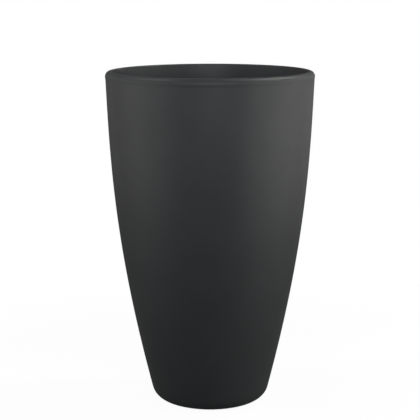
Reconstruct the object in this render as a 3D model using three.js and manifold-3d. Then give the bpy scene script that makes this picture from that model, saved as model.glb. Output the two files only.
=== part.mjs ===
// A tall round planter in moulded fibreglass.
//
// The shell is one laminate: a flat floor, a rounded foot, a wall that swells in one long curve to the rim,
// and a lip that rolls over and returns down the inside, so that the rim is a stiff double wall.
// Inside, four cleats bonded to the wall carry a lift-out soil shelf, which holds the compost in the upper
// half. Water runs through the shelf to a drain hole in the floor, stopped by a rubber bung that is drawn
// out from inside. Four rubber pads keep the floor off the ground, so that the drain can run.
//
// Millimetres, +Z up, origin on the ground under the middle of the planter.

import * as THREE from 'three';
import { mergeVertices } from 'three/addons/utils/BufferGeometryUtils.js';
import Module from 'manifold-3d';

const wasm = await Module();
wasm.setup();

// ---- Driving dimensions -------------------------------------------------------------------------

// Shell: outer form
const SHELL_HEIGHT = 678; // underside of the floor to the crest of the lip
const RIM_RADIUS = 210; // at the fullest part of the lip
const FOOT_RADIUS = 120.3; // where the wall runs into the rounded foot
const FOOT_ROUNDING = 33;
const FOOT_DRAFT = 14.1; // degrees that the wall leans out just above the foot
const RIM_DRAFT = 2.4; // degrees that the wall leans out just below the lip
const FOOT_PULL = 0.476; // share of the wall's chord over which the foot's draft bears on the curve
const RIM_PULL = 0.259; // the same for the rim's draft

// Shell: lip, its return down the inside, and the laminate
const LIP_ROUNDING = 7; // outer rounding of the lip
const LIP_PROUD = 0.9; // how far the lip stands out from the wall below it
const LIP_COVE = 30; // radius of the hollow that leads from the lip into the wall
const LIP_WIDTH = 13; // wall's outer face to the inner face of the return
const CREST_FLAT = 1; // between the outer and the inner rounding of the lip
const RETURN_DEPTH = 46; // crest to the lower edge of the return
const RETURN_THICKNESS = 4;
const WALL_THICKNESS = 4.5;
const FLOOR_THICKNESS = 6;
const DRAIN_RADIUS = 13;

// Rubber pads under the floor
const PAD_COUNT = 4;
const PAD_RADIUS = 13;
const PAD_HEIGHT = 4;
const PAD_INSET = 15; // from where the foot starts to round up to the edge of a pad
const PAD_CHAMFER = 1;

// Soil shelf
const SOIL_DEPTH = 330; // crest of the lip to the top of the shelf
const SHELF_CLEARANCE = 3; // between the shelf's edge and the wall
const SHELF_PLATE = 4; // thickness of the plate
const SHELF_DEPTH = 16; // top of the plate to the lower edge of the skirt
const SKIRT_THICKNESS = 3.5;
const SHELF_ROUNDING = 2.5; // outer top edge
const COLLAR_CLEARANCE = 5; // between the bung's flange and the lifting hole that it is drawn up through
const COLLAR_THICKNESS = 3.5;
const COLLAR_RISE = 8; // above the plate
const RIB_COUNT = 8;
const RIB_THICKNESS = 3;
const RIB_DEPTH = 9; // below the plate
const WEEP_RADIUS = 5; // drain holes in the plate
const WEEP_RINGS = [8, 16]; // holes in each ring, from the collar outwards

// Cleats that carry the shelf
const CLEAT_COUNT = 4;
const CLEAT_WIDTH = 38;
const CLEAT_REACH = 20; // how far the top stands in from the wall
const CLEAT_NOSE = 9; // height of the upright nose
const CLEAT_HEIGHT = 40;
const CLEAT_FOOT = 6; // how far the bottom stands in from the wall
const CLEAT_ROUNDING = 1.5;

// Drain bung
const FLANGE_LAP = 4; // of the flange over the floor round the drain hole
const FLANGE_THICKNESS = 3.5;
const BUNG_CLEARANCE = 0.35; // between its sealing rings and the drain hole
const BUNG_RING_DEPTH = 1.4; // how far the rings stand out from the stem
const BUNG_TAIL = 2; // how far the stem shows below the floor
const KNOB_RADIUS = 8;
const KNOB_WAIST = 5.5; // radius below the knob's head
const KNOB_HEIGHT = 12;
const KNOB_ROUNDING = 3;

const BOND_LINE = 0.3; // adhesive under a pad and behind a cleat
const SEAT_GAP = 0.3; // between loose pieces and what they rest on

// Facets
const ROUND_STEPS = 64; // around the planter
const SMALL_STEPS = 24; // around pads and the bung
const HOLE_STEPS = 12; // around a drain hole in the shelf

// ---- Outline of the shell -----------------------------------------------------------------------

// Outline points are (distance from the axis, height).
const point = (radius, height) => new THREE.Vector2(radius, height);
const footDraft = THREE.MathUtils.degToRad(FOOT_DRAFT);
const rimDraft = THREE.MathUtils.degToRad(RIM_DRAFT);

// Unit directions on a wall that leans out by a draft: square to its outer face, and up along it.
const outward = (draft) => point(Math.cos(draft), -Math.sin(draft));
const upward = (draft) => point(Math.sin(draft), Math.cos(draft));

const along = (start, direction, distance) => start.clone().addScaledVector(direction, distance);

const underside = PAD_HEIGHT + BOND_LINE;
const floorTop = underside + FLOOR_THICKNESS;
const crest = underside + SHELL_HEIGHT;

// The wall is one cubic curve, which leaves the foot's rounding at the foot draft and meets the cove at the
// rim draft.
const wallFoot = point(FOOT_RADIUS, underside + FOOT_ROUNDING * (1 - Math.sin(footDraft)));
const footCentre = along(wallFoot, outward(footDraft), -FOOT_ROUNDING);
const lipCentre = point(RIM_RADIUS - LIP_ROUNDING, crest - LIP_ROUNDING);
// The cove touches the lip where both are turned down by this angle, which leaves the lip proud as asked.
const coveTurn = Math.acos(
  (LIP_ROUNDING - LIP_PROUD + LIP_COVE * Math.cos(rimDraft)) / (LIP_ROUNDING + LIP_COVE),
);
const coveCentre = along(lipCentre, outward(coveTurn), LIP_ROUNDING + LIP_COVE);
const wallTop = along(coveCentre, outward(rimDraft), -LIP_COVE);
const wallChord = wallFoot.distanceTo(wallTop);
const wall = new THREE.CubicBezierCurve(
  wallFoot,
  along(wallFoot, upward(footDraft), FOOT_PULL * wallChord),
  along(wallTop, upward(rimDraft), -RIM_PULL * wallChord),
  wallTop,
);

// A point of the wall at share t of the curve, set in from the outer face by a depth.
function insideWall(t, depth) {
  const up = wall.getTangent(t);
  return along(wall.getPoint(t), point(up.y, -up.x), -depth);
}

// Share of the curve at which the surface at that depth is at a height. The curve climbs all the way.
function shareAtHeight(height, depth) {
  let low = 0;
  let high = 1;
  for (let i = 0; i < 40; i++) {
    const middle = (low + high) / 2;
    if (insideWall(middle, depth).y < height) low = middle;
    else high = middle;
  }
  return (low + high) / 2;
}

const innerRadiusAt = (height) =>
  insideWall(shareAtHeight(height, WALL_THICKNESS), WALL_THICKNESS).x;

// Points on the surface at a depth, from share a to share b of the wall's curve.
function wallRun(depth, a, b, steps) {
  return Array.from({ length: steps + 1 }, (_, i) => insideWall(a + ((b - a) * i) / steps, depth));
}

// Points on an arc about a centre, from angle a to angle b, measured from the outward direction.
function arc(centre, radius, a, b, steps) {
  return Array.from({ length: steps + 1 }, (_, i) => {
    const angle = a + ((b - a) * i) / steps;
    return point(centre.x + radius * Math.cos(angle), centre.y + radius * Math.sin(angle));
  });
}

const WALL_STEPS = 12;
const ARC_STEPS = 6;
const RETURN_STEPS = 3;
const quarter = Math.PI / 2;

// Outer face, from the drain hole round the foot and up to the crest.
function outerFace() {
  return [
    point(DRAIN_RADIUS, underside),
    ...arc(footCentre, FOOT_ROUNDING, -quarter, -footDraft, ARC_STEPS),
    ...wallRun(0, 0, 1, WALL_STEPS).slice(1),
    ...arc(coveCentre, -LIP_COVE, -rimDraft, -coveTurn, 2).slice(1),
    ...arc(lipCentre, LIP_ROUNDING, -coveTurn, quarter, ARC_STEPS).slice(1),
  ];
}

// Over the crest, down the return's inner face, round its lower edge and back up to the top of the channel
// that it leaves behind it.
function returnFace() {
  const rounding = LIP_WIDTH + LIP_PROUD - LIP_ROUNDING - CREST_FLAT;
  const faceTop = along(wallTop, outward(rimDraft), -LIP_WIDTH);
  const lift = (crest - rounding - faceTop.y + rounding * Math.sin(rimDraft)) / Math.cos(rimDraft);
  const centre = along(along(faceTop, upward(rimDraft), lift), outward(rimDraft), rounding);
  const bead = RETURN_THICKNESS / 2;
  const middle = LIP_WIDTH - bead;
  const far = LIP_WIDTH - RETURN_THICKNESS;
  const edge = shareAtHeight(crest - RETURN_DEPTH + bead, middle);
  const edgeUp = wall.getTangent(edge);
  const lean = Math.atan2(edgeUp.x, edgeUp.y);
  return [
    ...arc(centre, rounding, quarter, 2 * quarter - rimDraft, ARC_STEPS - 1),
    ...wallRun(LIP_WIDTH, 1, edge, RETURN_STEPS),
    ...arc(insideWall(edge, middle), bead, 2 * quarter - lean, 4 * quarter - lean, 4).slice(1, -1),
    ...wallRun(far, edge, 1, RETURN_STEPS),
  ];
}

// The top of the channel, then the inside of the wall, the inner foot and the floor, back to the drain hole.
function innerFace() {
  const rise = (lipCentre.y - wallTop.y) / Math.cos(rimDraft);
  const half = (LIP_WIDTH - WALL_THICKNESS - RETURN_THICKNESS) / 2;
  const channel = along(along(wallTop, outward(rimDraft), -WALL_THICKNESS - half), upward(rimDraft), rise);
  const wallEnd = insideWall(0, WALL_THICKNESS);
  const rounding = (wallEnd.y - floorTop) / (1 - Math.sin(footDraft));
  const centre = along(wallEnd, outward(footDraft), -rounding);
  return [
    ...arc(channel, half, 2 * quarter - rimDraft, -rimDraft, 4),
    ...wallRun(WALL_THICKNESS, 1, 0, WALL_STEPS),
    ...arc(centre, rounding, -footDraft, -quarter, ARC_STEPS).slice(1),
    point(DRAIN_RADIUS, floorTop),
  ];
}

// ---- Solids -------------------------------------------------------------------------------------

// Turns an outline about the planter's axis. The outline runs anticlockwise, seen with height upwards, and
// either starts and ends on the axis or is closed.
function revolve(outline, steps) {
  return new THREE.LatheGeometry(outline, steps).rotateX(quarter);
}

// An outline that stays clear of the axis comes back to its first point.
const closed = (outline) => [...outline, outline[0]];

// A closed geometry as a solid that can be joined and cut.
function solid(geometry) {
  const bare = new THREE.BufferGeometry();
  bare.setAttribute('position', geometry.getAttribute('position'));
  bare.setIndex(geometry.getIndex());
  const merged = mergeVertices(bare, 1e-4);
  const mesh = new wasm.Mesh({
    numProp: 3,
    vertProperties: merged.getAttribute('position').array,
    triVerts: new Uint32Array(merged.getIndex().array),
  });
  return new wasm.Manifold(mesh);
}

// A solid as a geometry again.
function geometryOf(body) {
  const mesh = body.getMesh();
  const geometry = new THREE.BufferGeometry();
  geometry.setAttribute('position', new THREE.BufferAttribute(mesh.vertProperties, 3));
  geometry.setIndex(new THREE.BufferAttribute(mesh.triVerts, 1));
  geometry.computeVertexNormals();
  return geometry;
}

// Angles of evenly spaced copies, the first one a share of a space round from +X.
const spread = (count, share = 0) =>
  Array.from({ length: count }, (_, i) => ((i + share) * 2 * Math.PI) / count);

function shellGeometry() {
  return revolve(closed([...outerFace(), ...returnFace(), ...innerFace()]), ROUND_STEPS);
}

function padGeometry() {
  return revolve(
    [
      point(0, 0),
      point(PAD_RADIUS - PAD_CHAMFER, 0),
      point(PAD_RADIUS, PAD_CHAMFER),
      point(PAD_RADIUS, PAD_HEIGHT),
      point(0, PAD_HEIGHT),
    ],
    SMALL_STEPS,
  );
}

// Soil shelf: one moulding. Heights are from the top of the plate.
const shelfTop = crest - SOIL_DEPTH;
const shelfSeat = shelfTop - SHELF_DEPTH;
const shelfRadius = innerRadiusAt(shelfSeat) - SHELF_CLEARANCE;
const flangeRadius = DRAIN_RADIUS + FLANGE_LAP;
const collarBore = flangeRadius + COLLAR_CLEARANCE;

function shelfGeometry() {
  const collarOuter = collarBore + COLLAR_THICKNESS;
  const bead = COLLAR_THICKNESS / 2;
  const skirtInner = shelfRadius - SKIRT_THICKNESS;
  const corner = point(shelfRadius - SHELF_ROUNDING, -SHELF_ROUNDING);
  const outline = [
    point(collarBore, -SHELF_DEPTH),
    point(collarOuter, -SHELF_DEPTH),
    point(collarOuter, -SHELF_PLATE),
    point(skirtInner, -SHELF_PLATE),
    point(skirtInner, -SHELF_DEPTH),
    point(shelfRadius, -SHELF_DEPTH),
    ...arc(corner, SHELF_ROUNDING, 0, quarter, 3),
    point(collarOuter, 0),
    ...arc(point(collarBore + bead, COLLAR_RISE - bead), bead, 0, 2 * quarter, 4),
  ];
  let body = solid(revolve(closed(outline), ROUND_STEPS));
  const ribInner = collarBore + COLLAR_THICKNESS / 2;
  const ribOuter = shelfRadius - SKIRT_THICKNESS / 2;
  const ribHeight = RIB_DEPTH + SHELF_PLATE / 2;
  for (const angle of spread(RIB_COUNT)) {
    const rib = new THREE.BoxGeometry(ribOuter - ribInner, RIB_THICKNESS, ribHeight)
      .translate((ribInner + ribOuter) / 2, 0, -SHELF_PLATE / 2 - ribHeight / 2)
      .rotateZ(angle);
    body = body.add(solid(rib));
  }
  // The rings of drain holes share the plate's breadth evenly.
  const ringPitch = (skirtInner - collarOuter) / (WEEP_RINGS.length + 1);
  WEEP_RINGS.forEach((count, ring) => {
    for (const angle of spread(count, 1 / 2)) {
      const hole = new THREE.CylinderGeometry(WEEP_RADIUS, WEEP_RADIUS, 4 * SHELF_PLATE, HOLE_STEPS)
        .rotateX(quarter)
        .translate(collarOuter + (ring + 1) * ringPitch, 0, 0)
        .rotateZ(angle);
      body = body.subtract(solid(hole));
    }
  });
  return geometryOf(body);
}

// A cleat: a corbel with an upright nose, its back cut to the wall that it is bonded to. Heights are from
// its top.
const cleatTop = shelfSeat - SEAT_GAP;
const cleatWall = innerRadiusAt(cleatTop);

function cleatGeometry(angle) {
  const nose = cleatWall - CLEAT_REACH;
  const foot = innerRadiusAt(cleatTop - CLEAT_HEIGHT) - CLEAT_FOOT;
  const behind = cleatWall + CLEAT_REACH;
  const side = new THREE.Shape([
    point(nose + CLEAT_ROUNDING, -CLEAT_ROUNDING),
    point(nose + CLEAT_ROUNDING, -CLEAT_NOSE),
    point(foot + CLEAT_ROUNDING, -CLEAT_HEIGHT + CLEAT_ROUNDING),
    point(behind, -CLEAT_HEIGHT + CLEAT_ROUNDING),
    point(behind, -CLEAT_ROUNDING),
  ]);
  const block = new THREE.ExtrudeGeometry(side, {
    depth: CLEAT_WIDTH - 2 * CLEAT_ROUNDING,
    bevelThickness: CLEAT_ROUNDING,
    bevelSize: CLEAT_ROUNDING,
    bevelSegments: 2,
  })
    .translate(0, 0, CLEAT_ROUNDING - CLEAT_WIDTH / 2)
    .rotateX(quarter)
    .translate(0, 0, cleatTop)
    .rotateZ(angle);
  const inset = WALL_THICKNESS + BOND_LINE;
  const room = revolve(
    [point(0, floorTop), ...wallRun(inset, 0, 1, WALL_STEPS), point(0, crest)],
    ROUND_STEPS,
  );
  return geometryOf(solid(block).intersect(solid(room)));
}

// Bung: stem with two sealing rings, flange and knob. Heights are from the underside of the flange.
function bungGeometry() {
  const ring = DRAIN_RADIUS - BUNG_CLEARANCE;
  const stem = ring - BUNG_RING_DEPTH;
  const land = FLOOR_THICKNESS / 5;
  const tail = -FLOOR_THICKNESS - BUNG_TAIL;
  const rounding = FLANGE_THICKNESS / 2;
  const knobTop = FLANGE_THICKNESS + KNOB_HEIGHT;
  return revolve(
    [
      point(0, tail),
      point(stem - BUNG_RING_DEPTH, tail),
      point(stem, tail + BUNG_TAIL),
      point(ring, -4 * land),
      point(ring, -3 * land),
      point(stem, -3 * land),
      point(stem, -2 * land),
      point(ring, -2 * land),
      point(ring, -land),
      point(stem, -land),
      point(stem, 0),
      point(flangeRadius, 0),
      ...arc(point(flangeRadius - rounding, rounding), rounding, 0, quarter, 3),
      point(KNOB_WAIST, FLANGE_THICKNESS),
      point(KNOB_WAIST, FLANGE_THICKNESS + KNOB_HEIGHT / 3),
      ...arc(point(KNOB_RADIUS - KNOB_ROUNDING, knobTop - KNOB_ROUNDING), KNOB_ROUNDING, 0, quarter, 3),
      point(0, knobTop),
    ],
    SMALL_STEPS,
  );
}

// ---- Assembly -----------------------------------------------------------------------------------

const gelcoat = new THREE.MeshStandardMaterial({ color: 0x3a3c3d, roughness: 0.5, metalness: 0 });
const mouldedPlastic = new THREE.MeshStandardMaterial({ color: 0x1d1d1e, roughness: 0.6, metalness: 0 });
const laminate = new THREE.MeshStandardMaterial({ color: 0x4b4a45, roughness: 0.8, metalness: 0 });
const rubber = new THREE.MeshStandardMaterial({ color: 0x151515, roughness: 0.9, metalness: 0 });

const padCircle = footCentre.x - PAD_INSET - PAD_RADIUS;
const planter = new THREE.Group();

function place(name, geometry, material, x = 0, y = 0, z = 0) {
  const mesh = new THREE.Mesh(geometry, material);
  mesh.name = name;
  mesh.position.set(x, y, z);
  planter.add(mesh);
}

place('shell', shellGeometry(), gelcoat);
place('soil_shelf', shelfGeometry(), mouldedPlastic, 0, 0, shelfTop);
place('drain_bung', bungGeometry(), rubber, 0, 0, floorTop + SEAT_GAP);
spread(CLEAT_COUNT, 1 / 2).forEach((angle, i) => {
  place(`shelf_cleat_${i + 1}`, cleatGeometry(angle), laminate);
});
spread(PAD_COUNT).forEach((angle, i) => {
  const x = padCircle * Math.cos(angle);
  const y = padCircle * Math.sin(angle);
  place(`foot_pad_${i + 1}`, padGeometry(), rubber, x, y, 0);
});

export default planter;
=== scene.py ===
"""Dresses the tall round fibreglass planter and sets it in a plain pale studio.

Lengths are in metres, +Z is up, and the origin is on the ground under the middle of the planter. The
moulded pieces are surfaces worked out as whole numpy arrays from the same few sizes as their solids.
"""

from __future__ import annotations

import logging
import math
from dataclasses import dataclass, field
from enum import Enum

import bmesh
import bpy
import numpy as np
from mathutils import Matrix, Vector


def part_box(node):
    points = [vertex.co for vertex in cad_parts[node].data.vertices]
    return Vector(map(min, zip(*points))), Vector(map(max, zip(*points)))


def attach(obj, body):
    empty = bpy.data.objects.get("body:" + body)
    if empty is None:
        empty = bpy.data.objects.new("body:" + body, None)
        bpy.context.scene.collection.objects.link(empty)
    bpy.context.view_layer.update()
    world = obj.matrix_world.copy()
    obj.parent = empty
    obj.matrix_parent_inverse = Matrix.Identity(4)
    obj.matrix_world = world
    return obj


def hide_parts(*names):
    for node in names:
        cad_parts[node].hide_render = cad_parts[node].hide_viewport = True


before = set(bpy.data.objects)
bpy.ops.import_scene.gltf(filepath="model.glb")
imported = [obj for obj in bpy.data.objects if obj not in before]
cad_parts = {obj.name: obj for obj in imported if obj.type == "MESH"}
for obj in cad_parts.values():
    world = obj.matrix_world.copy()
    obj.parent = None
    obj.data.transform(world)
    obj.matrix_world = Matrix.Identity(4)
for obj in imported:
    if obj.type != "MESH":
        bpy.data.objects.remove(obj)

LOG = logging.getLogger("planter")
MM = 0.001
TURN = 2.0 * math.pi
HALF_TURN = math.pi
QUARTER = math.pi / 2
SHARP_ANGLE = math.radians(38)
WELD_DISTANCE = 1e-6
# Nearly all of a noise texture's values lie between these two.
NOISE_LOW = 0.3
NOISE_HIGH = 0.7

Colour = tuple[float, float, float]
Point = tuple[float, float, float]
Array = np.ndarray
Spot = Array | tuple[float, float]
Socket = bpy.types.NodeSocket
Feed = float | tuple | Socket

WARM: Colour = (1.04, 1.00, 0.98)
COOL: Colour = (0.92, 1.00, 1.02)
WHITE = (1.0, 1.0, 1.0, 1.0)


# ---- Outlines: arrays of (distance from the axis, height)


def outward(draft: float) -> Array:
    """Unit vector (cos draft, -sin draft), square to the outer face of a wall with that draft."""
    return np.array([math.cos(draft), -math.sin(draft)])


def upward(draft: float) -> Array:
    """Unit vector (sin draft, cos draft), up along a wall with that draft."""
    return np.array([math.sin(draft), math.cos(draft)])


def arc(centre: Spot, radius: float, start: float, end: float, steps: int) -> Array:
    """Points centre + radius * (cos a, sin a) on an arc, with a in even steps from start to end."""
    angle = np.linspace(start, end, steps + 1)
    return np.asarray(centre) + radius * np.stack([np.cos(angle), np.sin(angle)], axis=1)


def line(start: Spot, end: Spot, steps: int) -> Array:
    """Points start * (1 - t) + end * t on a straight line, with t in even steps from 0 to 1."""
    share = np.linspace(0.0, 1.0, steps + 1)[:, None]
    return np.asarray(start) * (1.0 - share) + np.asarray(end) * share


def joined(*runs: Array | list[list[float]]) -> Array:
    """One outline from several runs, without the points that repeat where two runs meet.

    Args:
        runs: Arrays or lists of points, in order.

    Returns:
        Their points as one array, with no point equal to the one before it.
    """
    points = np.concatenate(runs)
    step = np.linalg.norm(np.diff(points, axis=0), axis=1)
    return points[np.concatenate([[True], step > WELD_DISTANCE])]


def arc_length(points: Array) -> Array:
    """Distance along a run of points, from its first point to each of them."""
    step = np.linalg.norm(np.diff(points, axis=0), axis=1)
    return np.concatenate([[0.0], np.cumsum(step)])


# ---- Surfaces


def linked(name: str, data: bpy.types.ID) -> bpy.types.Object:
    """Puts a new object into the scene.

    Args:
        name: Its name.
        data: Its mesh, light or camera.

    Returns:
        The object, at the origin.
    """
    new = bpy.data.objects.new(name, data)
    bpy.context.scene.collection.objects.link(new)
    return new


@dataclass
class Surface:
    """A mesh being gathered from grids of points."""

    points: list[Array] = field(default_factory=list)
    quads: list[Array] = field(default_factory=list)
    uvs: list[Array] = field(default_factory=list)
    laid_up: list[Array] = field(default_factory=list)
    count: int = 0

    def add_grid(self, grid: Array, uv: Array | None = None, laid_up: Array | None = None) -> Surface:
        """Adds a grid of points, with a face between each four neighbours.

        A grid that closes on itself repeats its first row or column as its last. The repeats, and the
        points of a row that lies on the axis, become one when the mesh is welded.

        Args:
            grid: Points as an array of rows x columns x 3. Faces look to the side from which the columns
                run clockwise round the rows' direction.
            uv: Places on the sheet that the grid would be if it were unrolled, in metres.
            laid_up: 1 where the surface is hand-laid laminate, 0 where it was against the mould.

        Returns:
            This surface, for the next call.
        """
        rows, columns = grid.shape[:2]
        index = self.count + np.arange(rows * columns).reshape(rows, columns)
        corners = (index[:-1, :-1], index[:-1, 1:], index[1:, 1:], index[1:, :-1])
        self.quads.append(np.stack([c.ravel() for c in corners], axis=1))
        self.points.append(grid.reshape(-1, 3))
        self.uvs.append((grid[..., :2] if uv is None else uv).reshape(-1, 2))
        self.laid_up.append(np.zeros(index.size) if laid_up is None else laid_up.ravel())
        self.count += index.size
        return self

    def piece(self, name: str) -> bpy.types.Object:
        """Makes the mesh: its loops are set as whole arrays, then its doubles are welded.

        Args:
            name: Name of the new object.

        Returns:
            The object, at the origin, smooth but for its sharp edges.
        """
        points = np.concatenate(self.points)
        quads = np.concatenate(self.quads)
        mesh = bpy.data.meshes.new(name)
        mesh.vertices.add(len(points))
        mesh.vertices.foreach_set("co", points.astype(np.float32).ravel())
        mesh.loops.add(quads.size)
        mesh.loops.foreach_set("vertex_index", quads.astype(np.int32).ravel())
        mesh.polygons.add(len(quads))
        mesh.polygons.foreach_set("loop_start", np.arange(0, quads.size, 4, dtype=np.int32))
        mesh.update(calc_edges=True)
        uv = np.concatenate(self.uvs)[quads.ravel()]
        mesh.uv_layers.new(name="unrolled").data.foreach_set("uv", uv.astype(np.float32).ravel())
        laid_up = mesh.attributes.new("laid_up", "FLOAT", "POINT")
        laid_up.data.foreach_set("value", np.concatenate(self.laid_up).astype(np.float32))
        weld(mesh)
        return linked(name, mesh)


def weld(mesh: bpy.types.Mesh) -> None:
    """Merges the points of a mesh that lie in one place, and shades it smooth but for its sharp edges.

    Args:
        mesh: The mesh to change.
    """
    body = bmesh.new()
    body.from_mesh(mesh)
    bmesh.ops.remove_doubles(body, verts=body.verts, dist=WELD_DISTANCE)
    body.to_mesh(mesh)
    body.free()
    mesh.validate()
    mesh.polygons.foreach_set("use_smooth", np.ones(len(mesh.polygons), dtype=bool))
    mesh.set_sharp_from_angle(angle=SHARP_ANGLE)


def turned(outline: Array, steps: int) -> tuple[Array, Array]:
    """Turns an outline about the axis: point (r, z) goes to (r cos a, r sin a, z) for each angle a.

    Args:
        outline: Points as (distance from the axis, height), anticlockwise with height upwards.
        steps: Number of angles round the axis.

    Returns:
        The grid of points, and the angle of each of them.
    """
    angle = np.linspace(0.0, TURN, steps + 1)
    radius, angles = np.meshgrid(outline[:, 0], angle, indexing="ij")
    height = np.broadcast_to(outline[:, 1:2], radius.shape)
    grid = np.stack([radius * np.cos(angles), radius * np.sin(angles), height], axis=-1)
    grid[:, -1] = grid[:, 0]
    return grid, angles


# ---- Finishes


class Graph:
    """Shader nodes of a material or of the world, made one by one and linked as they are made."""

    def __init__(self, owner: bpy.types.Material | bpy.types.World) -> None:
        """Starts from no nodes but the output, whose type ends in the owner's.

        Args:
            owner: The new material or world that the nodes belong to.
        """
        owner.use_nodes = True
        self.owner = owner
        self.tree = owner.node_tree
        self.tree.nodes.clear()
        self.output = self.tree.nodes.new("ShaderNodeOutput" + type(owner).__name__)

    def node(self, kind: str, settings: dict[str, str] | None = None, **inputs: Feed) -> bpy.types.Node:
        """Adds a node.

        Args:
            kind: The node's type, without "ShaderNode".
            settings: Properties of the node.
            inputs: A value for each input, or the output socket that feeds it. The name is the input's,
                in lower case with _ for a space.

        Returns:
            The node.
        """
        node = self.tree.nodes.new("ShaderNode" + kind)
        for name, value in (settings or {}).items():
            setattr(node, name, value)
        sockets = {s.name.lower().replace(" ", "_"): s for s in reversed(node.inputs) if s.enabled}
        for name, value in inputs.items():
            self.feed(sockets[name], value)
        return node

    def feed(self, socket: Socket, value: Feed) -> None:
        """Links an output to an input socket, or sets the socket to a plain value.

        Args:
            socket: The input.
            value: The output or the value.
        """
        if isinstance(value, Socket):
            self.tree.links.new(value, socket)
        else:
            socket.default_value = value

    def place(self) -> Socket:
        """Object coordinates, in metres."""
        return self.node("TexCoord").outputs["Object"]

    def noise(self, where: Socket, size: float, detail: float) -> Socket:
        """Value, about 0.5, of noise in patches of a size, with octaves of finer noise as its detail."""
        return self.node("TexNoise", vector=where, scale=1.0 / size, detail=detail).outputs[0]

    def between(self, value: Socket, low: float, high: float) -> Socket:
        """A noise value spread over a range, from low to high."""
        spread = {"from_min": NOISE_LOW, "from_max": NOISE_HIGH, "to_min": low, "to_max": high}
        return self.node("MapRange", value=value, **spread).outputs[0]

    def tint(self, value: Socket, low: Colour, high: Colour) -> Socket:
        """A colour that a value from 0 to 1 leads from one to another.

        Args:
            value: The share of the second colour.
            low: First colour, linear.
            high: Second colour, linear.

        Returns:
            The socket of the colour.
        """
        ends = {"a": (*low, 1.0), "b": (*high, 1.0)}
        mix = self.node("Mix", {"data_type": "RGBA"}, factor=value, **ends)
        return next(s for s in mix.outputs if s.enabled)

    def relief(self, height: Socket, depth: float, coarser: Socket | None = None) -> Socket:
        """Bumps on the surface.

        Args:
            height: Height of the bumps, from 0 to 1.
            depth: What 1 stands for, in metres.
            coarser: Normal with coarser bumps on it already.

        Returns:
            The socket of the new normal.
        """
        bump = self.node("Bump", height=height, distance=depth, strength=1.0)
        if coarser is not None:
            self.feed(bump.inputs["Normal"], coarser)
        return bump.outputs[0]

    def math(self, operation: str, *values: Feed) -> Socket:
        """Arithmetic on outputs or plain values.

        Args:
            operation: Name of the Math node's operation.
            values: Its inputs, in order.

        Returns:
            The socket of the result.
        """
        node = self.node("Math", {"operation": operation})
        for socket, value in zip(node.inputs, values):
            self.feed(socket, value)
        return node.outputs[0]

    def both(self, kind: str, first: Socket, second: Socket, **inputs: Feed) -> Socket:
        """Two shaders joined into one.

        Args:
            kind: Type of the node that joins them, without "ShaderNode".
            first: The first shader.
            second: The second.
            inputs: The node's other inputs.

        Returns:
            The socket of the new shader.
        """
        node = self.node(kind, **inputs)
        shaders = [s for s in node.inputs if s.type == "SHADER"]
        self.feed(shaders[0], first)
        self.feed(shaders[1], second)
        return node.outputs[0]

    def done(self, shader: Socket) -> bpy.types.Material | bpy.types.World:
        """Ends the nodes with the shader that they show, and returns what they belong to."""
        self.feed(self.output.inputs["Surface"], shader)
        return self.owner


@dataclass(frozen=True)
class Bumps:
    """Bumps of noise: the size of one, its octaves of finer noise, and its height."""

    size: float
    detail: float
    depth: float

    def normal(self, graph: Graph, where: Socket, coarser: Socket | None = None) -> Socket:
        """The normal of a surface with these bumps, on top of any coarser ones."""
        return graph.relief(graph.noise(where, self.size, self.detail), self.depth, coarser)


@dataclass(frozen=True)
class Coat:
    """A dull coat: a colour with blotches, an uneven gloss and fine bumps.

    Attributes:
        colour: Its middle colour, linear.
        shades: What the darkest and the lightest blotches multiply the colour by.
        blotch: Size of a blotch.
        roughness: The least and the greatest.
        patch_share: Size of a patch of one roughness, as a share of a blotch.
    """

    colour: Colour
    shades: tuple[float, float]
    blotch: float
    roughness: tuple[float, float]
    bumps: Bumps
    patch_share: float = 1 / 3
    patch_detail: float = 5.0
    blotch_detail: float = 5.0

    def shader(self, graph: Graph, where: Socket, coarser: Socket) -> Socket:
        """Builds the coat's shader.

        Args:
            graph: The material's nodes.
            where: Object coordinates.
            coarser: Normal with the bumps of what the coat lies on.

        Returns:
            The socket of the shader.
        """
        dark, light = (tuple(share * times for share in self.colour) for times in self.shades)
        blotches = graph.noise(where, self.blotch, self.blotch_detail)
        patches = graph.noise(where, self.blotch * self.patch_share, self.patch_detail)
        return graph.node(
            "BsdfPrincipled",
            base_color=graph.tint(graph.between(blotches, 0.0, 1.0), dark, light),
            roughness=graph.between(patches, *self.roughness),
            normal=self.bumps.normal(graph, where, coarser),
        ).outputs[0]


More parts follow.
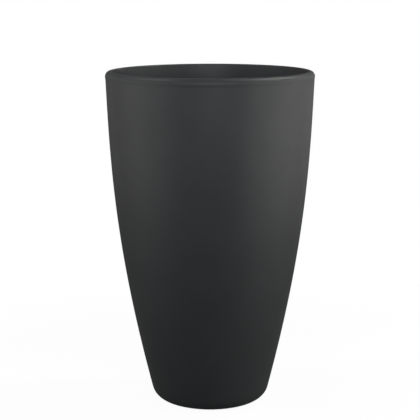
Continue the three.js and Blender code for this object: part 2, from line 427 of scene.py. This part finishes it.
@dataclass(frozen=True)
class ShellFinish:
    """Satin gelcoat where the laminate was against the mould, and flow coat over strand mat inside.

    The attribute laid_up tells the two apart. The gelcoat has long, shallow waves under its orange peel.
    The flow coat shows the chopped strands under it, on the unrolled wall.
    """

    name: str = "satin_gelcoat"
    gelcoat: Coat = Coat(
        colour=(0.046, 0.049, 0.051),
        shades=(0.94, 1.06),
        blotch=90 * MM,
        roughness=(0.45, 0.52),
        bumps=Bumps(size=1.8 * MM, detail=2.0, depth=0.012 * MM),
        patch_detail=6.0,
    )
    flow_coat: Coat = Coat(
        colour=(0.030, 0.032, 0.033),
        shades=(0.8, 1.25),
        blotch=20 * MM,
        roughness=(0.62, 0.80),
        bumps=Bumps(size=1.2 * MM, detail=4.0, depth=0.06 * MM),
        patch_share=0.6,
        patch_detail=4.0,
    )
    waves: Bumps = Bumps(size=110 * MM, detail=1.0, depth=0.15 * MM)
    strand_length: float = 45 * MM
    strand_width: float = 1.6 * MM
    strand_depth: float = 0.35 * MM
    strand_angles: tuple[float, ...] = (12.0, 71.0, 128.0)

    def strands(self, graph: Graph) -> Socket:
        """Chopped strands: the greatest of noises stretched along a few directions of the unrolled wall.

        Args:
            graph: The material's nodes.

        Returns:
            The socket of the normal with the strands on it.
        """
        unrolled = graph.node("UVMap", {"uv_map": "unrolled"}).outputs[0]
        height = None
        for angle in self.strand_angles:
            along = graph.node(
                "Mapping",
                vector=unrolled,
                rotation=(0.0, 0.0, math.radians(angle)),
                scale=(1.0 / self.strand_length, 1.0 / self.strand_width, 1.0),
            ).outputs[0]
            streaks = graph.noise(along, size=1.0, detail=1.0)
            height = streaks if height is None else graph.math("MAXIMUM", height, streaks)
        return graph.relief(height, self.strand_depth)

    def material(self) -> bpy.types.Material:
        """Builds the material.

        Returns:
            The material.
        """
        graph = Graph(bpy.data.materials.new(self.name))
        where = graph.place()
        side = graph.node("Attribute", {"attribute_name": "laid_up"}).outputs["Fac"]
        moulded = self.gelcoat.shader(graph, where, self.waves.normal(graph, where))
        laid_up = self.flow_coat.shader(graph, where, self.strands(graph))
        return graph.done(graph.both("MixShader", moulded, laid_up, fac=side))


@dataclass(frozen=True)
class GrainedFinish:
    """A plain moulded, cast or painted finish: a coat over coarser bumps."""

    name: str
    coat: Coat
    grain: Bumps

    def material(self) -> bpy.types.Material:
        """Builds the material.

        Returns:
            The material.
        """
        graph = Graph(bpy.data.materials.new(self.name))
        where = graph.place()
        return graph.done(self.coat.shader(graph, where, self.grain.normal(graph, where)))


MOULDING = GrainedFinish(
    name="grained_black_moulding",
    coat=Coat(
        colour=(0.020, 0.020, 0.021),
        shades=(0.85, 1.15),
        blotch=50 * MM,
        roughness=(0.48, 0.62),
        bumps=Bumps(size=0.3 * MM, detail=3.0, depth=0.01 * MM),
    ),
    grain=Bumps(size=0.9 * MM, detail=2.0, depth=0.03 * MM),
)
PAINTED_LAMINATE = GrainedFinish(
    name="painted_laminate",
    coat=Coat(
        colour=(0.062, 0.060, 0.053),
        shades=(0.7, 1.3),
        blotch=18 * MM,
        roughness=(0.60, 0.85),
        bumps=Bumps(size=0.9 * MM, detail=3.0, depth=0.08 * MM),
    ),
    grain=Bumps(size=5 * MM, detail=2.0, depth=0.4 * MM),
)
BLACK_RUBBER = GrainedFinish(
    name="black_rubber",
    coat=Coat(
        colour=(0.016, 0.016, 0.016),
        shades=(0.8, 1.2),
        blotch=8 * MM,
        roughness=(0.70, 0.88),
        bumps=Bumps(size=0.25 * MM, detail=3.0, depth=0.008 * MM),
    ),
    grain=Bumps(size=1.5 * MM, detail=2.0, depth=0.02 * MM),
)


class Finish(Enum):
    """The planter's finishes, each with the record's slot that it belongs to."""

    SHELL = ("gelcoat", ShellFinish())
    SHELF = ("moulded_plastic", MOULDING)
    CLEAT = ("laminate", PAINTED_LAMINATE)
    RUBBER = ("rubber", BLACK_RUBBER)

    @property
    def slot(self) -> str:
        """The record's material slot."""
        return self.value[0]

    def material(self) -> bpy.types.Material:
        """The finish's material, made when it is first asked for."""
        finish = self.value[1]
        return bpy.data.materials.get(finish.name) or finish.material()

    def dress(self, piece: bpy.types.Object) -> None:
        """Gives a piece this finish and nothing else."""
        piece.data.materials.clear()
        piece.data.materials.append(self.material())


def settle(piece: bpy.types.Object, body: str, finish: Finish, *nodes: str) -> None:
    """Puts a new piece in its place in the planter, and logs it.

    Args:
        piece: The finished object.
        body: The body that it moves with.
        finish: What it is dressed in.
        nodes: The solids that it stands for.
    """
    finish.dress(piece)
    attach(piece, body)
    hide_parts(*nodes)
    LOG.info("%s rides %s and stands for %s", piece.name, body, ", ".join(nodes))


# ---- Shell


@dataclass
class Shell:
    """The laminated shell: floor, rounded foot, tapering wall, rolled lip and its return inside.

    The fields from relief_depth on are those of the uneven, hand-laid inner wall. It starts a number of
    points past the crest, below the return, and fades out over a height at its top and its foot.
    """

    underside: float = 4.3 * MM
    height: float = 678 * MM
    rim_radius: float = 210 * MM
    foot_radius: float = 120.3 * MM
    foot_rounding: float = 33 * MM
    foot_draft: float = math.radians(14.1)
    rim_draft: float = math.radians(2.4)
    foot_pull: float = 0.476
    rim_pull: float = 0.259
    lip_rounding: float = 10.5 * MM
    lip_proud: float = 0.9 * MM
    lip_cove: float = 50 * MM
    lip_width: float = 13 * MM
    crest_flat: float = 1 * MM
    return_depth: float = 46 * MM
    return_thickness: float = 4 * MM
    wall_thickness: float = 4.5 * MM
    floor_thickness: float = 6 * MM
    drain_radius: float = 13 * MM
    drain_edge: float = 0.5 * MM
    table_points: int = 4001
    share_nudge: float = 1e-4
    steps: int = 240
    relief_depth: float = 0.7 * MM
    relief_seed: int = 7
    relief_waves: int = 14
    relief_turns: tuple[int, int] = (2, 26)
    relief_pitch: float = 130.0
    relief_past_crest: int = 60
    relief_foot_fade: float = 30 * MM
    relief_top_fade: float = 15 * MM

    def __post_init__(self) -> None:
        """Works out the wall's curve: a cubic that leaves the foot and meets the cove at their drafts."""
        self.floor_top = self.underside + self.floor_thickness
        self.crest = self.underside + self.height
        foot_height = self.underside + self.foot_rounding * (1.0 - math.sin(self.foot_draft))
        foot = np.array([self.foot_radius, foot_height])
        self.foot_centre = foot - self.foot_rounding * outward(self.foot_draft)
        self.lip_centre = np.array([self.rim_radius, self.crest]) - self.lip_rounding
        reach = self.lip_rounding + self.lip_cove
        stand = self.lip_rounding - self.lip_proud + self.lip_cove * math.cos(self.rim_draft)
        self.cove_turn = math.acos(stand / reach)
        self.cove_centre = self.lip_centre + reach * outward(self.cove_turn)
        top = self.cove_centre - self.lip_cove * outward(self.rim_draft)
        chord = float(np.linalg.norm(top - foot))
        foot_handle = foot + self.foot_pull * chord * upward(self.foot_draft)
        rim_handle = top - self.rim_pull * chord * upward(self.rim_draft)
        self.handles = np.array([foot, foot_handle, rim_handle, top])
        self.bead = self.return_thickness / 2
        self.return_middle = self.lip_width - self.bead
        bead_height = self.crest - self.return_depth + self.bead
        self.return_end = self.share_at(bead_height, self.return_middle)

    def wall(self, share: Array, depth: float = 0.0) -> Array:
        """Points of the wall: the cubic (1-t)^3 A + 3(1-t)^2 t B + 3(1-t) t^2 C + t^3 D, set in by a depth.

        Args:
            share: Shares t of the curve, from the foot at 0 to the cove at 1.
            depth: Distance from the outer face, square to it.

        Returns:
            The points.
        """
        t = np.asarray(share, dtype=float)[:, None]
        a, b, c, d = self.handles
        point = (1 - t) ** 3 * a + 3 * (1 - t) ** 2 * t * b + 3 * (1 - t) * t**2 * c + t**3 * d
        slope = 3 * ((1 - t) ** 2 * (b - a) + 2 * (1 - t) * t * (c - b) + t**2 * (d - c))
        slope /= np.linalg.norm(slope, axis=1, keepdims=True)
        return point - depth * np.stack([slope[:, 1], -slope[:, 0]], axis=1)

    def share_at(self, height: float, depth: float) -> float:
        """Share of the curve, read off a table, at which the surface at a depth is at a height."""
        shares = np.linspace(0.0, 1.0, self.table_points)
        return float(np.interp(height, self.wall(shares, depth)[:, 1], shares))

    def outer_face(self) -> Array:
        """Outline from the drain's edge round the foot and up to the crest.

        The cove's negative radius puts its points on the far side of its centre.

        Returns:
            The outline.
        """
        drain = (self.drain_radius + self.drain_edge, self.underside)
        return joined(
            line(drain, (self.foot_centre[0], self.underside), steps=8),
            arc(self.foot_centre, self.foot_rounding, -QUARTER, -self.foot_draft, steps=20),
            self.wall(np.linspace(0.0, 1.0, num=61)),
            arc(self.cove_centre, -self.lip_cove, -self.rim_draft, -self.cove_turn, steps=6),
            arc(self.lip_centre, self.lip_rounding, -self.cove_turn, QUARTER, steps=18),
        )

    def return_face(self) -> Array:
        """Outline over the crest, down the return's inner face and round its lower edge.

        Returns:
            The outline.
        """
        draft = self.rim_draft
        rounding = self.lip_width + self.lip_proud - self.lip_rounding - self.crest_flat
        top = self.handles[3] - self.lip_width * outward(draft)
        lift = (self.crest - rounding - top[1] + rounding * math.sin(draft)) / math.cos(draft)
        centre = top + lift * upward(draft) + rounding * outward(draft)
        shares = np.array([self.return_end, self.return_end + self.share_nudge])
        ends = self.wall(shares, self.return_middle)
        lean = math.atan2(*(ends[1] - ends[0]))
        return joined(
            arc(centre, rounding, QUARTER, HALF_TURN - draft, steps=14),
            self.wall(np.linspace(1.0, self.return_end, num=10), self.lip_width),
            arc(ends[0], self.bead, HALF_TURN - lean, TURN - lean, steps=8),
        )

    def inner_face(self) -> Array:
        """Outline up the return's outer side, over the channel, down the wall and over the floor.

        Returns:
            The outline.
        """
        draft = self.rim_draft
        rise = (self.lip_centre[1] - self.handles[3][1]) / math.cos(draft)
        half = (self.lip_width - self.wall_thickness - self.return_thickness) / 2
        below = self.handles[3] - (self.wall_thickness + half) * outward(draft)
        channel = below + rise * upward(draft)
        foot = self.wall(np.array([0.0]), self.wall_thickness)[0]
        rounding = (foot[1] - self.floor_top) / (1.0 - math.sin(self.foot_draft))
        centre = foot - rounding * outward(self.foot_draft)
        drain = (self.drain_radius + self.drain_edge, self.floor_top)
        outer_side = self.lip_width - self.return_thickness
        return joined(
            self.wall(np.linspace(self.return_end, 1.0, num=6), outer_side),
            arc(channel, half, HALF_TURN - draft, -draft, steps=6),
            self.wall(np.linspace(1.0, 0.0, num=91), self.wall_thickness),
            arc(centre, rounding, -self.foot_draft, -QUARTER, steps=12),
            line((centre[0], self.floor_top), drain, steps=10),
        )

    def drain_face(self) -> Array:
        """Outline of the drain hole, from the floor's top down, with its two edges broken.

        Returns:
            The outline.
        """
        edge = self.drain_edge
        middle = self.drain_radius + edge
        return joined(
            arc((middle, self.floor_top - edge), edge, QUARTER, HALF_TURN, steps=3),
            arc((middle, self.underside + edge), edge, HALF_TURN, 3 * QUARTER, steps=3),
        )

    def relief(self, angles: Array, along: Array) -> Array:
        """Unevenness of a wall laid up by hand: the mean of waves cos(m a + k s + p), with whole m so that
        it closes round the wall.

        Args:
            angles: Angle a round the axis of each point.
            along: Distance s up the wall of each point.

        Returns:
            The relief at each point, between minus and plus half its depth.
        """
        draw = np.random.default_rng(self.relief_seed)
        total = np.zeros_like(angles)
        for _ in range(self.relief_waves):
            turns = draw.integers(*self.relief_turns)
            pitch = draw.uniform(-self.relief_pitch, self.relief_pitch)
            phase = draw.uniform(0.0, TURN)
            total += np.cos(turns * angles + pitch * along + phase)
        return 0.5 * self.relief_depth * total / self.relief_waves

    def relief_share(self, outline: Array) -> Array:
        """How far each point of the outline belongs to the uneven inner wall.

        Args:
            outline: The shell's whole outline.

        Returns:
            1 on the inner wall below the return, falling to 0 at the floor, in the channel and elsewhere.
        """
        height = outline[:, 1]
        inside = np.arange(len(outline)) > np.argmax(height) + self.relief_past_crest
        low = np.clip((height - self.floor_top) / self.relief_foot_fade, 0.0, 1.0)
        high = np.clip((self.crest - self.return_depth - height) / self.relief_top_fade, 0.0, 1.0)
        return inside * low * high

    def build(self) -> None:
        """Turns the whole outline about the axis, and lets the inner wall wander into its thickness."""
        moulded = joined(self.outer_face(), self.return_face())
        outline = joined(moulded, self.inner_face(), self.drain_face())
        side = (np.arange(len(outline)) >= len(moulded)).astype(float)
        grid, angles = turned(outline, self.steps)
        along = np.broadcast_to(arc_length(outline)[:, None], angles.shape)
        laid_up = np.broadcast_to(side[:, None], angles.shape)
        depth = self.relief_share(outline)[:, None] * self.relief(angles, along)
        grid[..., 0] += depth * np.cos(angles)
        grid[..., 1] += depth * np.sin(angles)
        unrolled = np.stack([angles * self.rim_radius, along], axis=-1)
        piece = Surface().add_grid(grid, unrolled, laid_up).piece("planter_shell")
        settle(piece, "planter", Finish.SHELL, "shell")


# ---- Soil shelf


@dataclass
class SoilShelf:
    """The moulded shelf: a plate with rings of drain holes, a skirt, a lifting collar and ribs below.

    Attributes:
        depth: From the plate's top to the lower edge of the skirt and the collar.
        rings: Number of drain holes in each ring.
        small_edge: Rounding of the lower edges.
        plate_rows: Rows of points from a sector's loop to its hole.
        plate_crowding: Power that crowds the rows towards the hole.
    """

    plate: float = 4 * MM
    depth: float = 16 * MM
    skirt: float = 3.5 * MM
    edge_rounding: float = 2.5 * MM
    bore: float = 22 * MM
    collar: float = 3.5 * MM
    collar_rise: float = 8 * MM
    fillet: float = 1.2 * MM
    hole_radius: float = 5 * MM
    hole_edge: float = 0.7 * MM
    rings: tuple[int, ...] = (8, 16)
    ribs: int = 8
    rib_thickness: float = 3 * MM
    rib_depth: float = 9 * MM
    rib_taper: float = 0.3 * MM
    small_edge: float = 0.6 * MM
    plate_rows: int = 8
    plate_crowding: float = 1.5
    steps: int = 256

    def __post_init__(self) -> None:
        """Works out how wide the shelf is and where its plate lies, from the solid, and its circles."""
        low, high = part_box("soil_shelf")
        self.top = high.z - self.collar_rise
        self.foot = self.top - self.depth
        self.radius = high.x
        self.collar_outer = self.bore + self.collar
        self.skirt_inner = self.radius - self.skirt
        self.plate_inner = self.collar_outer + self.fillet
        self.plate_outer = self.skirt_inner - self.fillet
        pitch = (self.skirt_inner - self.collar_outer) / (len(self.rings) + 1)
        self.circles = [self.collar_outer + (i + 1) * pitch for i in range(len(self.rings))]

    def cell(self, inner: float, outer: float, start: float, end: float, steps: int) -> Array:
        """Loop of points round a sector of the plate, clockwise seen from above.

        The loop runs out along the first side, round the outer arc, in along the other side and back
        round the inner arc.

        Args:
            inner: Inner radius.
            outer: Outer radius.
            start: Angle of its first side.
            end: Angle of its other side.
            steps: Points on each arc. A side has as many.

        Returns:
            The loop, with its first point again at its end.
        """
        out = np.linspace(inner, outer, steps + 1)
        turn = np.linspace(start, end, steps + 1)
        radius = np.concatenate([out, np.full(steps, outer), out[::-1][1:], np.full(steps, inner)])
        angle = np.concatenate([np.full(steps, start), turn, np.full(steps, end), turn[::-1][1:]])
        return np.stack([radius * np.cos(angle), radius * np.sin(angle)], axis=1)

    def holed_cell(self, loop: Array, centre: Array) -> Array:
        """Surface of one sector of the plate round its drain hole.

        Each point of the sector's loop is joined to the point of the hole that faces it. The section runs
        in over the top, down through the hole with both its edges rounded, and out again below.

        Args:
            loop: The sector's loop.
            centre: Middle of the hole.

        Returns:
            The grid of points.
        """
        away = loop - centre
        facing = away / np.linalg.norm(away, axis=1, keepdims=True)
        edge = self.hole_edge
        wide = self.hole_radius + edge
        section = joined(
            arc((wide, -edge), edge, QUARTER, HALF_TURN, steps=4),
            arc((wide, edge - self.plate), edge, HALF_TURN, 3 * QUARTER, steps=4),
        )[:, :, None, None]
        share = np.linspace(1.0, 0.0, self.plate_rows)[:-1, None, None] ** self.plate_crowding
        near = centre + facing * wide
        flat = near + (loop - near) * share
        top = np.concatenate([flat, np.full((*flat.shape[:2], 1), self.top)], axis=2)
        bottom = top[::-1].copy()
        bottom[..., 2] -= self.plate
        through = centre + facing * section[:, 0]
        height = np.broadcast_to(self.top + section[:, 1], (*through.shape[:2], 1))
        return np.concatenate([top, np.concatenate([through, height], axis=2), bottom])

    def low_edges(self, outer: float, inner: float) -> Array:
        """Outline round the lower edge of a standing wall.

        Args:
            outer: Outer radius of the wall.
            inner: Its inner radius.

        Returns:
            The outline, from the outer radius to the inner one.
        """
        edge = self.small_edge
        return joined(
            arc((outer - edge, self.foot + edge), edge, 0.0, -QUARTER, steps=3),
            arc((inner + edge, self.foot + edge), edge, -QUARTER, -HALF_TURN, steps=3),
        )

    def rim_outline(self) -> Array:
        """Outline from the plate's top over its edge, round the skirt and back under the plate.

        Returns:
            The outline.
        """
        corner = (self.radius - self.edge_rounding, self.top - self.edge_rounding)
        inside = (self.plate_outer, self.top - self.plate - self.fillet)
        return joined(
            [[self.plate_outer, self.top]],
            arc(corner, self.edge_rounding, QUARTER, 0.0, steps=8),
            self.low_edges(self.radius, self.skirt_inner),
            arc(inside, self.fillet, 0.0, QUARTER, steps=4),
        )

    def collar_outline(self) -> Array:
        """Outline from under the plate round the collar, up its bore, over its bead and to the plate.

        Returns:
            The outline.
        """
        bead = self.collar / 2
        below = (self.plate_inner, self.top - self.plate - self.fillet)
        above = (self.plate_inner, self.top + self.fillet)
        crest = (self.bore + bead, self.top + self.collar_rise - bead)
        return joined(
            arc(below, self.fillet, QUARTER, HALF_TURN, steps=4),
            self.low_edges(self.collar_outer, self.bore),
            arc(crest, bead, HALF_TURN, 0.0, steps=10),
            arc(above, self.fillet, HALF_TURN, 3 * QUARTER, steps=4),
        )

    def rib(self, angle: float) -> Array:
        """Surface of one rib: a U-shaped section, drawn in towards its lower edge, carried along a radius.

        Args:
            angle: Angle of the rib.

        Returns:
            The grid of points, closed at both ends.
        """
        half = self.rib_thickness / 2
        tip = half - self.rib_taper
        root = self.top - self.plate / 2
        low = self.top - self.plate - self.rib_depth
        edge = self.small_edge
        section = joined(
            [[0.0, root], [half, root]],
            arc((tip - edge, low + edge), edge, 0.0, -QUARTER, steps=3),
            arc((edge - tip, low + edge), edge, -QUARTER, -HALF_TURN, steps=3),
            [[-half, root], [0.0, root]],
        )
        centre = np.array([0.0, (root + low) / 2])
        start = self.bore + self.collar / 2
        end = self.radius - self.skirt / 2
        along = np.concatenate([[start], np.linspace(start, end, num=9), [end]])
        size = np.ones(len(along))
        size[[0, -1]] = 0.0
        shape = centre + (section[:, None, :] - centre) * size[None, :, None]
        across = shape[..., 0]
        x = along * math.cos(angle) - across * math.sin(angle)
        y = along * math.sin(angle) + across * math.cos(angle)
        return np.stack([x, y, shape[..., 1]], axis=-1)

    def build(self) -> None:
        """Tiles the plate with holed sectors, closes it with the skirt and the collar, and adds the ribs."""
        surface = Surface()
        between = [(a + b) / 2 for a, b in zip(self.circles, self.circles[1:])]
        radii = [self.plate_inner, *between, self.plate_outer]
        for holes, circle, inner, outer in zip(self.rings, self.circles, radii, radii[1:]):
            width = TURN / holes
            for hole in range(holes):
                start = hole * width
                end = (hole + 1) * width
                middle = (start + end) / 2
                centre = circle * np.array([math.cos(middle), math.sin(middle)])
                loop = self.cell(inner, outer, start, end, self.steps // holes)
                surface.add_grid(self.holed_cell(loop, centre))
        for outline in (self.rim_outline(), self.collar_outline()):
            surface.add_grid(turned(outline[::-1], self.steps)[0])
        for index in range(self.ribs):
            surface.add_grid(self.rib(index * TURN / self.ribs))
        settle(surface.piece("soil_shelf_moulding"), "soil_shelf", Finish.SHELF, "soil_shelf")


# ---- Bung, pads and cleats


def numbered(prefix: str) -> list[str]:
    """Names of the solids that begin with a prefix, in order."""
    return sorted(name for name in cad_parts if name.startswith(prefix))


@dataclass
class DrainBung:
    """The rubber bung: a stem with two sealing rings, a flange on the floor, and a knob to draw it by.

    Attributes:
        lands: Parts of the stem in the floor. The rings are the second and the fourth from the flange.
        waist_height: Height of the knob's waist above the flange.
        neck: Rounding where the knob leaves the flange.
    """

    drain_radius: float = 13 * MM
    ring_clearance: float = 0.35 * MM
    ring_depth: float = 1.4 * MM
    lands: int = 5
    floor: float = 6 * MM
    tail: float = 2 * MM
    flange_lap: float = 4 * MM
    flange: float = 3.5 * MM
    flange_edge: float = 0.4 * MM
    neck: float = 1.5 * MM
    waist_height: float = 4 * MM
    knob_radius: float = 8 * MM
    knob_waist: float = 5.5 * MM
    knob_height: float = 12 * MM
    knob_rounding: float = 3 * MM
    steps: int = 96

    def outline(self, seat: float) -> Array:
        """Outline from the tail up round the rings, the flange and the knob.

        Args:
            seat: Height of the flange's underside.

        Returns:
            The outline, from the axis to the axis.
        """
        ring = self.drain_radius - self.ring_clearance
        stem = ring - self.ring_depth
        land = self.floor / self.lands
        bead = land / 2
        tail = seat - self.floor - self.tail
        edge = self.flange_edge
        half = self.flange / 2
        lap = self.drain_radius + self.flange_lap
        top = seat + self.flange
        knob = (self.knob_radius - self.knob_rounding, top + self.knob_height - self.knob_rounding)
        rings = [
            run
            for below in (4, 2)
            for run in (
                [[stem, seat - below * land]],
                arc((ring - bead, seat - (below - 0.5) * land), bead, -QUARTER, QUARTER, steps=8),
                [[stem, seat - (below - 1) * land]],
            )
        ]
        return joined(
            [[0.0, tail], [stem - self.ring_depth, tail], [stem, tail + self.tail]],
            *rings,
            [[stem, seat]],
            arc((lap - edge, seat + edge), edge, -QUARTER, 0.0, steps=3),
            arc((lap - half, seat + half), half, 0.0, QUARTER, steps=8),
            arc((self.knob_waist + self.neck, top + self.neck), self.neck, 3 * QUARTER, HALF_TURN, steps=6),
            [[self.knob_waist, top + self.waist_height]],
            arc(knob, self.knob_rounding, -QUARTER / 2, QUARTER, steps=12),
            [[0.0, top + self.knob_height]],
        )

    def build(self) -> None:
        """Turns the outline about the axis."""
        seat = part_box("drain_bung")[0].z + self.floor + self.tail
        grid, _ = turned(self.outline(seat), self.steps)
        piece = Surface().add_grid(grid).piece("drain_bung_rubber")
        settle(piece, "drain_bung", Finish.RUBBER, "drain_bung")


@dataclass
class FootPads:
    """The rubber pads under the floor: discs with a chamfer, a broken upper edge and a ringed sole."""

    prefix: str = "foot_pad_"
    chamfer: float = 1 * MM
    upper_edge: float = 0.3 * MM
    groove: float = 0.5 * MM
    grooves: int = 3
    sole_points: int = 40
    steps: int = 72

    def outline(self, radius: float, height: float) -> Array:
        """Outline from the sole's middle, over its rings, to the middle of the top.

        The sole is waved by half a groove's depth times 1 - cos, so that its rings touch the ground.

        Args:
            radius: Radius of a pad.
            height: Its height.

        Returns:
            The outline, from the axis to the axis.
        """
        sole = np.linspace(0.0, radius - self.chamfer, self.sole_points)
        wave = 1.0 - np.cos(TURN * self.grooves * sole / sole[-1])
        edge = self.upper_edge
        return joined(
            np.stack([sole, wave * self.groove / 2], axis=1),
            [[radius, self.chamfer]],
            arc((radius - edge, height - edge), edge, 0.0, QUARTER, steps=3),
            [[0.0, height]],
        )

    def build(self) -> None:
        """Makes one piece for each pad, in the place of its solid."""
        for node in numbered(self.prefix):
            low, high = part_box(node)
            grid, _ = turned(self.outline((high.x - low.x) / 2, high.z), self.steps)
            grid[..., 0] += (low.x + high.x) / 2
            grid[..., 1] += (low.y + high.y) / 2
            piece = Surface().add_grid(grid).piece(node.replace("foot_pad", "foot_pad_rubber"))
            settle(piece, "planter", Finish.RUBBER, node)


@dataclass
class ShelfCleats:
    """The cleats bonded inside the wall. Their solids stay, and are only dressed."""

    prefix: str = "shelf_cleat_"

    def dress(self) -> None:
        """Dresses each cleat."""
        for name in numbered(self.prefix):
            Finish.CLEAT.dress(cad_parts[name])
            LOG.info("%s keeps its solid", name)


# ---- Studio


@dataclass(frozen=True)
class Lamp:
    """A soft rectangular lamp that faces a point on the planter's axis.

    Attributes:
        azimuth: Degrees round the axis from the front, rising to the right.
        elevation: Degrees above the height of its target.
        distance: Distance from its target.
        level: About how bright the lamp makes a white card at its target.
        target_height: Height of its target.
        spread: Degrees that its light spreads over.
    """

    name: str
    azimuth: float
    elevation: float
    distance: float
    width: float
    height: float
    level: float
    colour: Colour
    target_height: float = 0.50
    spread: float = 180.0

    def build(self) -> None:
        """Hangs the lamp. Its power is its level times (pi times its distance) squared."""
        light = bpy.data.lights.new(self.name, "AREA")
        light.shape = "RECTANGLE"
        light.size = self.width
        light.size_y = self.height
        light.energy = self.level * (math.pi * self.distance) ** 2
        light.color = self.colour
        light.spread = math.radians(self.spread)
        lamp = linked(self.name, light)
        turn = Matrix.Rotation(math.radians(self.azimuth), 4, "Z")
        lift = Matrix.Rotation(QUARTER - math.radians(self.elevation), 4, "X")
        target = Matrix.Translation((0.0, 0.0, self.target_height))
        lamp.matrix_world = target @ (turn @ lift) @ Matrix.Translation((0.0, 0.0, self.distance))
        lamp.visible_camera = False


@dataclass
class Camera:
    """The photograph's camera, as fitted to the planter's outline."""

    place: Point = (-0.0002, -2.604, 0.874)
    pitch: float = math.radians(10.355)
    roll: float = math.radians(-0.05)
    lens: float = 111.1
    sensor: float = 36.0

    def build(self) -> None:
        """Sets the camera up level with its pitch and roll, and makes it the scene's."""
        data = bpy.data.cameras.new("camera")
        data.lens = self.lens
        data.sensor_width = self.sensor
        camera = linked("camera", data)
        turn = Matrix.Rotation(QUARTER - self.pitch, 4, "X") @ Matrix.Rotation(self.roll, 4, "Z")
        camera.matrix_world = Matrix.Translation(self.place) @ turn
        bpy.context.scene.camera = camera


@dataclass
class Studio:
    """Pale floor, white surroundings and soft lamps.

    Attributes:
        floor_share: How much of the floor's look is its own lit surface, which carries the shadow.
        floor_lit: How bright a white floor is under the lamps where nothing shades it. The rest of the
            floor's look is plain white, less what that lit surface adds.
        floor_near: Distance from the planter up to which the floor has all of its share.
        floor_far: Distance from which it is plain white, so that it has no horizon.
        reflected_white: How bright the white surroundings are in the planter's satin reflections, as a
            share: dark cards beside a pot hold its reflections back.
        fill: Light that comes evenly from all round.
    """

    floor_half: float = 6.0
    floor_share: float = 0.12
    floor_lit: float = 0.4
    floor_near: float = 0.4
    floor_far: float = 1.2
    reflected_white: float = 0.07
    fill: float = 0.05
    fill_colour: Colour = (0.85, 1.00, 1.04)
    lamps: tuple[Lamp, ...] = (
        Lamp("lamp_right", 70.0, 2.3, 1.40, 1.8, 1.2, 0.515, WARM),
        Lamp("lamp_left", -70.0, 0.0, 1.40, 1.7, 1.2, 0.315, WARM),
        Lamp("lamp_right_rear", 120.0, 8.1, 1.41, 1.2, 1.2, 0.12, WARM),
        Lamp("lamp_left_rear", -120.0, 8.1, 1.41, 1.2, 1.2, 0.05, WARM),
        Lamp("lamp_front", 0.0, 8.0, 2.0, 1.8, 0.6, 0.047, COOL, 0.72, 60.0),
        Lamp("spot_right", 110.0, 50.0, 1.5, 0.4, 0.4, 0.020, WARM, 0.70, 25.0),
        Lamp("spot_right_low", 95.0, 40.0, 1.5, 0.4, 0.4, 0.004, WARM, 0.70, 25.0),
        Lamp("spot_left", -86.0, 50.0, 1.5, 0.4, 0.4, 0.010, WARM, 0.70, 25.0),
        Lamp("spot_inside", 0.0, 90.0, 1.8, 0.06, 0.06, 0.007, COOL, 0.35, 10.0),
    )

    def seen(self, graph: Graph) -> Socket:
        """How far a ray sees the surroundings as white.

        Args:
            graph: Nodes of the world or of a material.

        Returns:
            The socket of 1 for a ray from the camera or through glass, and of the reflected share for a
            glossy one.
        """
        path = graph.node("LightPath").outputs
        straight = graph.math("MAXIMUM", path["Is Camera Ray"], path["Is Transmission Ray"])
        glossy = graph.math("MULTIPLY", path["Is Glossy Ray"], self.reflected_white)
        return graph.math("MAXIMUM", straight, glossy)

    def surround(self) -> None:
        """White surroundings for the camera, and an even, weak fill for the planter."""
        graph = Graph(bpy.data.worlds.new("studio"))
        fill = graph.node("Background", color=(*self.fill_colour, 1.0), strength=self.fill)
        white = graph.node("Background", color=WHITE, strength=1.0)
        both = graph.both("MixShader", fill.outputs[0], white.outputs[0], fac=self.seen(graph))
        bpy.context.scene.world = graph.done(both)

    def floor_shares(self, graph: Graph) -> tuple[Socket, Socket]:
        """The floor's two parts: its lit surface near the planter, and the plain white that makes it up.

        Args:
            graph: The floor's nodes.

        Returns:
            The sockets of the lit share and of the white's strength.
        """
        distance = graph.node("VectorMath", {"operation": "LENGTH"}, vector=graph.place())
        share = graph.node(
            "MapRange",
            {"interpolation_type": "SMOOTHSTEP"},
            value=distance.outputs["Value"],
            from_min=self.floor_near,
            from_max=self.floor_far,
            to_min=self.floor_share,
            to_max=0.0,
        ).outputs[0]
        rest = graph.math("MULTIPLY_ADD", share, -self.floor_lit, 1.0)
        return share, graph.math("MULTIPLY", rest, self.seen(graph))

    def floor(self) -> None:
        """A pale floor that the camera sees as white but for the planter's faint shadow."""
        half = self.floor_half
        mesh = bpy.data.meshes.new("floor")
        corners = [(-half, -half, 0.0), (half, -half, 0.0), (half, half, 0.0), (-half, half, 0.0)]
        mesh.from_pydata(corners, [], [(0, 1, 2, 3)])
        floor = linked("floor", mesh)
        graph = Graph(bpy.data.materials.new("pale_floor"))
        share, white = self.floor_shares(graph)
        lit = graph.node("BsdfDiffuse", color=share)
        glow = graph.node("Emission", color=WHITE, strength=white)
        mesh.materials.append(graph.done(graph.both("AddShader", lit.outputs[0], glow.outputs[0])))

    def build(self) -> None:
        """Sets up the floor, the surroundings, the lamps and the view."""
        self.surround()
        self.floor()
        for lamp in self.lamps:
            lamp.build()
        bpy.context.scene.view_settings.view_transform = "Standard"


# ---- All together


def main() -> None:
    """Builds the planter's pieces in order, then the studio and the camera."""
    logging.basicConfig(level=logging.INFO, format="%(name)s: %(message)s")
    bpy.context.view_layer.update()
    Shell().build()
    SoilShelf().build()
    DrainBung().build()
    FootPads().build()
    ShelfCleats().dress()
    Studio().build()
    Camera().build()


if __name__ == "__main__":
    main()
